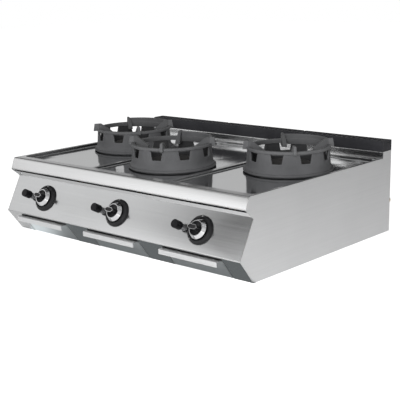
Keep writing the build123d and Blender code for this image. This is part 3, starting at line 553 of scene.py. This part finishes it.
def baked(name, tree, values, body):
    """Plain mesh from a geometry tree, handed to one body."""
    holder = bpy.data.objects.new(f"{name}_maker", bpy.data.meshes.new(f"{name}_maker"))
    scene.collection.objects.link(holder)
    maker = holder.modifiers.new("maker", "NODES")
    maker.node_group = tree
    for label, value in values.items():
        maker[input_id(tree, label)] = value
    bpy.context.view_layer.update()
    made = holder.evaluated_get(bpy.context.evaluated_depsgraph_get())
    piece = bpy.data.objects.new(name, bpy.data.meshes.new_from_object(made))
    scene.collection.objects.link(piece)
    bpy.data.objects.remove(holder)
    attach(piece, body)
    return piece


marks = baked("bezel_marks", marks_tree, {
    "Marks": 2, "First Angle": math.radians(90), "Angle Step": math.radians(143),
    "Ring Radius": 0.0462, "Ring Height": 0.0104, "Dome Slope": 0.75, "Mark Radius": 0.0018,
    "Dials": 3, "Dial Pitch": BAY_PITCH, "Tilt": (PANEL_TILT, 0.0, 0.0),
    "Middle Dial": tuple(knob_axis), "Material": FINISH["mark_white"],
}, "range")
print("marks", len(marks.data.vertices))

# %% [markdown]
# ## Camera
# The photograph was taken with a long lens from the front right, a little above the worktop. The
# position and angles below were solved from the casing's edges.

# %% Camera
YAW, PITCH, ROLL = 0.7377, 0.2689, -0.0241
CAMERA_PLACE = (2.42595, -2.65036, 0.94975)
LENS, SENSOR, SHIFT_UP = 84.84, 36.0, 0.1

forward = Vector((-math.sin(YAW) * math.cos(PITCH), math.cos(YAW) * math.cos(PITCH),
                  -math.sin(PITCH)))
level = Vector((math.cos(YAW), math.sin(YAW), 0))
above = level.cross(forward)
camera_right = level * math.cos(ROLL) + above * math.sin(ROLL)
camera_up = above * math.cos(ROLL) - level * math.sin(ROLL)
camera = bpy.data.objects.new("camera", bpy.data.cameras.new("camera"))
scene.collection.objects.link(camera)
camera.matrix_world = Matrix.Translation(CAMERA_PLACE) @ Matrix(
    (camera_right, camera_up, -forward)).transposed().to_4x4()
camera.data.sensor_width = SENSOR
camera.data.lens = LENS
camera.data.shift_y = SHIFT_UP
camera.data.clip_end = 100.0
scene.camera = camera
print("camera", CAMERA_PLACE, "lens", LENS)

# %% [markdown]
# ## Windows on the sky
# Polished steel shows the room, so the room matters more than the lamps. A room could be built
# round the object, but a drawn one is quicker to tune: a few windows and screens on the sky, each
# with its own bearing, height and soft edge. The group gives one such window. Bearings are in
# degrees from +X towards +Y, and heights in degrees above the horizon.

# %% Shader group: a soft-edged window on the sky
window, window_in, window_out = group_tree(
    "sky_window",
    {"Bearing From": (FLOAT, -10.0), "Bearing To": (FLOAT, 10.0), "Height From": (FLOAT, 0.0),
     "Height To": (FLOAT, 20.0), "Soft": (FLOAT, 5.0)},
    {"Value": FLOAT},
)
place = add(window, "ShaderNodeTexCoord").outputs["Generated"]
axes = add(window, "ShaderNodeSeparateXYZ", {0: place}).outputs
bearing = calc(window, "ARCTAN2", axes["Y"], axes["X"])
height = calc(window, "ARCSINE", axes["Z"])
inside = None
for angle, low, high in ((bearing, "Bearing From", "Bearing To"),
                         (height, "Height From", "Height To")):
    degrees = calc(window, "DEGREES", angle)
    for label, operation in ((low, "SUBTRACT"), (high, "ADD")):
        limit = window_in.outputs[label]
        beyond = calc(window, operation, limit, window_in.outputs["Soft"])
        within = fade(window, degrees, beyond, limit)
        inside = within if inside is None else calc(window, "MULTIPLY", inside, within)
feed(window, window_out, {"Value": inside})
print(window.name, "nodes", len(window.nodes))

# %% [markdown]
# ## Floor
# The object stands on paper that runs into a white background without a line. A lit plane would
# come out grey in places, so the floor glows for the camera, and far less for reflections.

# %% Floor
FLOOR_LEVEL, FLOOR_SIZE = -0.0005, 30
GLOW_SEEN, GLOW_MIRRORED = 0.75, 0.1


def plane(name, place, size=1, scale=(1, 1, 1)):
    """Level plane about a place."""
    bpy.ops.mesh.primitive_plane_add(size=size, location=place)
    piece = bpy.context.object
    piece.name = name
    piece.scale = scale
    return piece


tree, shader = new_material("pale_floor", {
    "Base Color": (0.92, 0.92, 0.92, 1), "Roughness": 0.9, "Specular IOR Level": 0.0,
    "Emission Color": (1, 1, 1, 1),
})
ray = add(tree, "ShaderNodeLightPath").outputs
mirrored = calc(tree, "MULTIPLY", ray["Is Glossy Ray"], GLOW_MIRRORED)
glow = calc(tree, "MULTIPLY_ADD", ray["Is Camera Ray"], GLOW_SEEN, mirrored)
feed(tree, shader, {"Emission Strength": glow})
floor = plane("floor", (0, 0, FLOOR_LEVEL), size=FLOOR_SIZE)
floor.data.materials.append(FINISH["pale_floor"])
print("floor", tuple(floor.dimensions))

# %% [markdown]
# ## Card under the front
# The underside of the front mirrors the floor close before it, which lies in shade. The camera
# must not see that shade, so a card that only reflections see stands in for it. It is light at
# its left end and dark from there on, as the shade is.

# %% Card under the front
CARD_PLACE, CARD_SCALE = (0.1, -0.44, 0.0005), (1.3, 0.13, 1)
CARD_LIGHT_UNTIL, CARD_DARK_FROM = -0.47, -0.3
CARD_LIGHT, CARD_DARK = 0.8, 0.19

tree, shader = new_material("shade_card", {
    "Base Color": (0.0, 0.0, 0.0, 1), "Specular IOR Level": 0.0,
    "Emission Color": (0.93, 1.0, 1.02, 1),
})
place = add(tree, "ShaderNodeTexCoord").outputs["Object"]
along = add(tree, "ShaderNodeSeparateXYZ", {0: place}).outputs["X"]
feed(tree, shader, {
    "Emission Strength": fade(tree, along, CARD_LIGHT_UNTIL, CARD_DARK_FROM,
                              CARD_LIGHT, CARD_DARK),
})
card = plane("shade_card", CARD_PLACE, scale=CARD_SCALE)
card.data.materials.append(FINISH["shade_card"])
card.visible_camera = False
card.visible_diffuse = False
card.visible_shadow = False
print("card", CARD_SCALE)

# %% [markdown]
# ## Dark ground inside the casing
# The casing is open below and keeps the light off the ground that it stands on. The glowing floor
# would shine up into it, so a dark plane covers the floor there.

# %% Dark ground inside the casing
GROUND_PLACE, GROUND_SCALE = (0, 0.0275, 0.0004), (1.185, 0.82, 1)

new_material("ground_inside", {
    "Base Color": (0.03, 0.03, 0.03, 1), "Roughness": 0.9, "Specular IOR Level": 0.0,
})
ground = plane("ground_inside", GROUND_PLACE, scale=GROUND_SCALE)
ground.data.materials.append(FINISH["ground_inside"])
print("ground", GROUND_SCALE)

# %% [markdown]
# ## Pale studio
# The camera sees plain white. Reflections see a room that is drawn on the sky: a level that
# changes with height, and the windows, where a level below zero is a dark screen. Light that
# lands on matte surfaces comes from a plain dim sky and the lamp, so that hollows stay dark.

# %% World
SKY = [(0.0, 0.5), (0.5, 0.62), (0.56, 0.66), (0.68, 0.7), (0.82, 0.42), (1.0, 0.3)]
WINDOWS = [
    {"Bearing From": -165.0, "Bearing To": -120.0, "Height From": 20.0, "Height To": 32.0,
     "Soft": 8.0, "level": 0.2},
    {"Bearing From": -136.0, "Bearing To": -110.0, "Height From": 8.0, "Height To": 21.0,
     "Soft": 7.0, "level": 0.6},
    {"Bearing From": -135.5, "Bearing To": -95.0, "Height From": 25.5, "Height To": 60.0,
     "Soft": 4.0, "level": -0.82},
    {"Bearing From": 95.0, "Bearing To": 140.0, "Height From": 0.0, "Height To": 12.0,
     "Soft": 2.0, "level": -0.1},
    {"Bearing From": 24.0, "Bearing To": 72.0, "Height From": 4.0, "Height To": 50.0,
     "Soft": 5.0, "level": -0.55},
    {"Bearing From": 100.0, "Bearing To": 170.0, "Height From": 16.0, "Height To": 44.0,
     "Soft": 3.0, "level": -0.5},
]
DARKEST = 0.03
AMBIENT = 0.32
WHITE = (1, 1, 1, 1)


def ramp(tree, fac, stops):
    """Colour ramp on a value, from (position, grey) pairs."""
    node = add(tree, "ShaderNodeValToRGB", {"Fac": fac})
    band = node.color_ramp
    while len(band.elements) < len(stops):
        band.elements.new(0.5)
    for element, (position, grey) in zip(band.elements, stops):
        element.position = position
        element.color = (grey, grey, grey, 1)
    return node.outputs["Color"]


world = bpy.data.worlds.new("studio")
scene.world = world
world.use_nodes = True
tree = world.node_tree
tree.nodes.clear()
place = add(tree, "ShaderNodeTexCoord").outputs["Generated"]
axes = add(tree, "ShaderNodeSeparateXYZ", {0: place}).outputs
height = add(tree, "ShaderNodeMapRange", {
    "Value": axes["Z"], "From Min": -1.0, "From Max": 1.0,
})
total = ramp(tree, height.outputs["Result"], SKY)
for settings in WINDOWS:
    pane = add(tree, "ShaderNodeGroup", node_tree=window)
    feed(tree, pane, {label: value for label, value in settings.items() if label != "level"})
    total = calc(tree, "MULTIPLY_ADD", pane.outputs["Value"], settings["level"], total)
total = calc(tree, "MAXIMUM", total, DARKEST)
room, dim, white = (
    add(tree, "ShaderNodeBackground", {"Color": WHITE, "Strength": strength}).outputs[0]
    for strength in (total, AMBIENT, 1.0)
)
ray = add(tree, "ShaderNodeLightPath").outputs
by_surface = add(tree, "ShaderNodeMixShader", {0: ray["Is Glossy Ray"], 1: dim, 2: room})
by_viewer = add(tree, "ShaderNodeMixShader", {
    0: ray["Is Camera Ray"], 1: by_surface.outputs[0], 2: white,
})
add(tree, "ShaderNodeOutputWorld", {"Surface": by_viewer.outputs[0]})
print("world nodes", len(tree.nodes))

# %% [markdown]
# ## Lamp
# One large soft lamp stands at the front right, above and beside the camera. It gives the
# castings their shape. Reflections don't see it, because the windows already draw what the steel
# mirrors.

# %% Lamp
LAMP_PLACE, LAMP_TARGET = Vector((1.9, -3.0, 1.7)), Vector((0, 0, 0.2))
LAMP_SIZE, LAMP_WATTS = 2.0, 130

lamp = bpy.data.lights.new("key", "AREA")
lamp.shape = "SQUARE"
lamp.size = LAMP_SIZE
lamp.energy = LAMP_WATTS
key = bpy.data.objects.new("key", lamp)
scene.collection.objects.link(key)
key.location = LAMP_PLACE
key.rotation_euler = (LAMP_TARGET - LAMP_PLACE).to_track_quat("-Z", "Y").to_euler()
key.visible_glossy = False
print("lamp", LAMP_WATTS, "W")

# %% [markdown]
# ## View
# The pale tones are meant as they are drawn, so the picture leaves the scene without a film look.

# %% View
scene.view_settings.view_transform = "Standard"
scene.view_settings.look = "None"
scene.view_settings.exposure = 0.0
